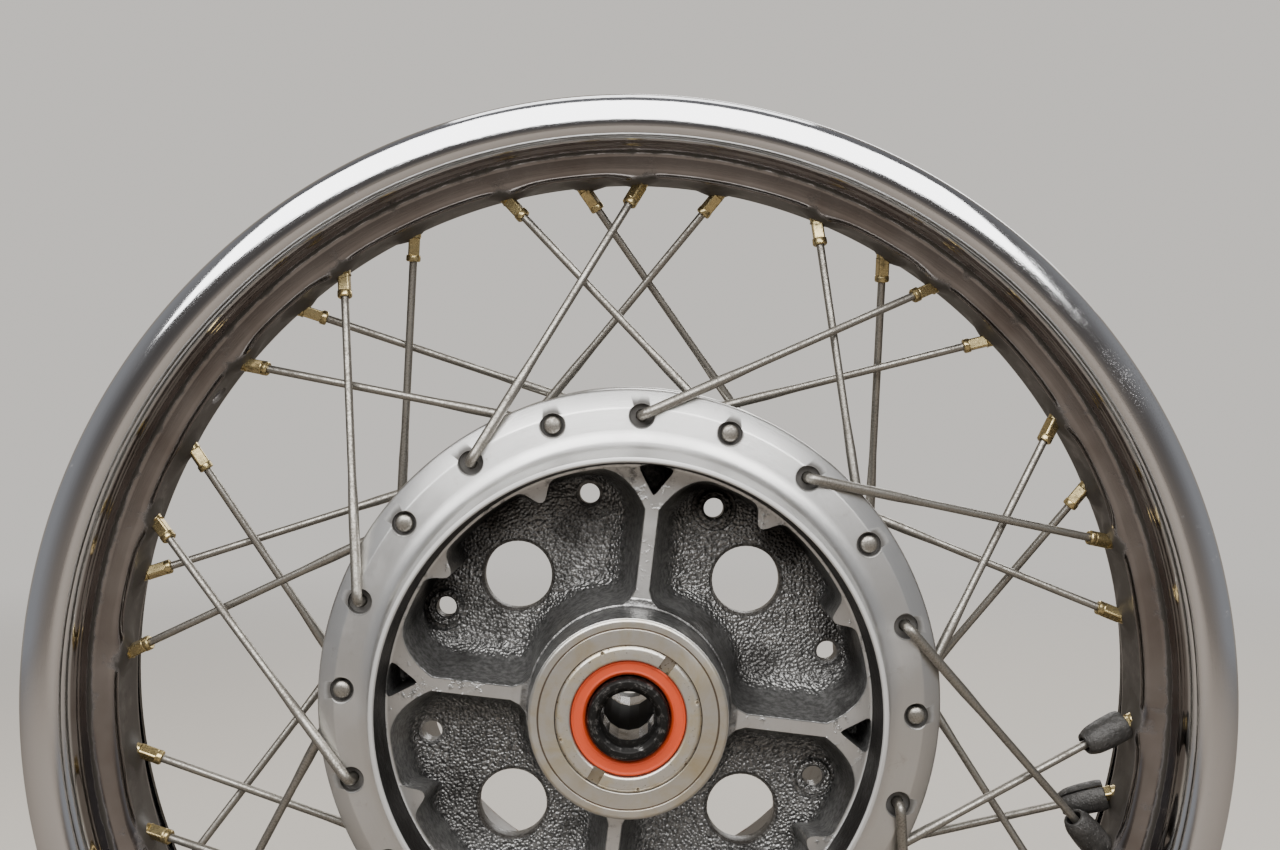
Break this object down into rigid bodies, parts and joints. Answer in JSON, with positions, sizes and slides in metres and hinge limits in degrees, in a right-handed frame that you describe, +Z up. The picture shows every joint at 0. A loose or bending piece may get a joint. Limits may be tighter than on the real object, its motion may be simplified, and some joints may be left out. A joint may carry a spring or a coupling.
{
  "type": "spoked motorcycle wheel",
  "caption": "Rear motorcycle wheel: rolled chrome rim laced with butted wire spokes to a cast drum-brake hub that turns on two ball bearings.",
  "frame": {"origin": "wheel centre: on the axle line, in the middle plane of the rim", "axes": "+Y along the axle, from the damper side to the brake side; +Z up; the wheel stands upright"},
  "size_m": [0.4612, 0.114, 0.4612],
  "materials": {
    "chrome": "polished chrome plate on rolled steel, lightly pitted",
    "spoke_steel": "dull zinc plate, oxidised",
    "nipple_plating": "yellow passivated plate",
    "hub_aluminium": "sand-cast, flange and boss faces turned",
    "turned_aluminium": "turned, stained",
    "drum_iron": "bored braking surface",
    "bearing_steel": "ground",
    "collar_steel": "dark oil-blackened steel",
    "orange_rubber": "matt moulded nitrile",
    "black_rubber": "matt moulded nitrile",
    "lead": "dull oxidised lead"
  },
  "bodies": {
    "axle_stack": {"near_axle_collar": "collar_steel", "near_bearing_inner_ring": "bearing_steel", "distance_collar": "collar_steel", "far_bearing_inner_ring": "bearing_steel", "far_axle_collar": "collar_steel"},
    "near_cage": {"near_bearing_ball_cage": "bearing_steel"},
    "far_cage": {"far_bearing_ball_cage": "bearing_steel"},
    "wheel": {"rim": "chrome", "hub_shell": "hub_aluminium", "brake_drum_liner": "drum_iron", "bearing_retainer": "turned_aluminium", "near_dust_seal": "orange_rubber", "far_dust_seal": "black_rubber", "balance_weight_upper": "lead", "balance_weight_rear": "lead", "balance_weight_lower": "lead", "near_bearing_outer_ring": "bearing_steel", "far_bearing_outer_ring": "bearing_steel", "spoke_near_outer_01": "spoke_steel", "spoke_near_outer_02": "spoke_steel", "spoke_near_outer_03": "spoke_steel", "spoke_near_outer_04": "spoke_steel", "spoke_near_outer_05": "spoke_steel", "spoke_near_outer_06": "spoke_steel", "spoke_near_outer_07": "spoke_steel", "spoke_near_outer_08": "spoke_steel", "spoke_near_outer_09": "spoke_steel", "spoke_near_outer_10": "spoke_steel", "spoke_near_inner_01": "spoke_steel", "spoke_near_inner_02": "spoke_steel", "spoke_near_inner_03": "spoke_steel", "spoke_near_inner_04": "spoke_steel", "spoke_near_inner_05": "spoke_steel", "spoke_near_inner_06": "spoke_steel", "spoke_near_inner_07": "spoke_steel", "spoke_near_inner_08": "spoke_steel", "spoke_near_inner_09": "spoke_steel", "spoke_near_inner_10": "spoke_steel", "spoke_far_inner_01": "spoke_steel", "spoke_far_inner_02": "spoke_steel", "spoke_far_inner_03": "spoke_steel", "spoke_far_inner_04": "spoke_steel", "spoke_far_inner_05": "spoke_steel", "spoke_far_inner_06": "spoke_steel", "spoke_far_inner_07": "spoke_steel", "spoke_far_inner_08": "spoke_steel", "spoke_far_inner_09": "spoke_steel", "spoke_far_inner_10": "spoke_steel", "spoke_far_outer_01": "spoke_steel", "spoke_far_outer_02": "spoke_steel", "spoke_far_outer_03": "spoke_steel", "spoke_far_outer_04": "spoke_steel", "spoke_far_outer_05": "spoke_steel", "spoke_far_outer_06": "spoke_steel", "spoke_far_outer_07": "spoke_steel", "spoke_far_outer_08": "spoke_steel", "spoke_far_outer_09": "spoke_steel", "spoke_far_outer_10": "spoke_steel"}
  },
  "joints": [
    {"name": "wheel_spin", "type": "hinge", "parent": "axle_stack", "child": "wheel", "pos_m": [0, 0, 0], "axis": [0, 1, 0], "continuous": true},
    {"name": "near_cage_spin", "type": "hinge", "parent": "axle_stack", "child": "near_cage", "pos_m": [0, 0, 0], "axis": [0, 1, 0], "continuous": true},
    {"name": "far_cage_spin", "type": "hinge", "parent": "axle_stack", "child": "far_cage", "pos_m": [0, 0, 0], "axis": [0, 1, 0], "continuous": true}
  ],
  "couplings": [
    {"joint": "near_cage_spin", "follows": "wheel_spin", "ratio": 0.63},
    {"joint": "far_cage_spin", "follows": "wheel_spin", "ratio": 0.63}
  ]
}
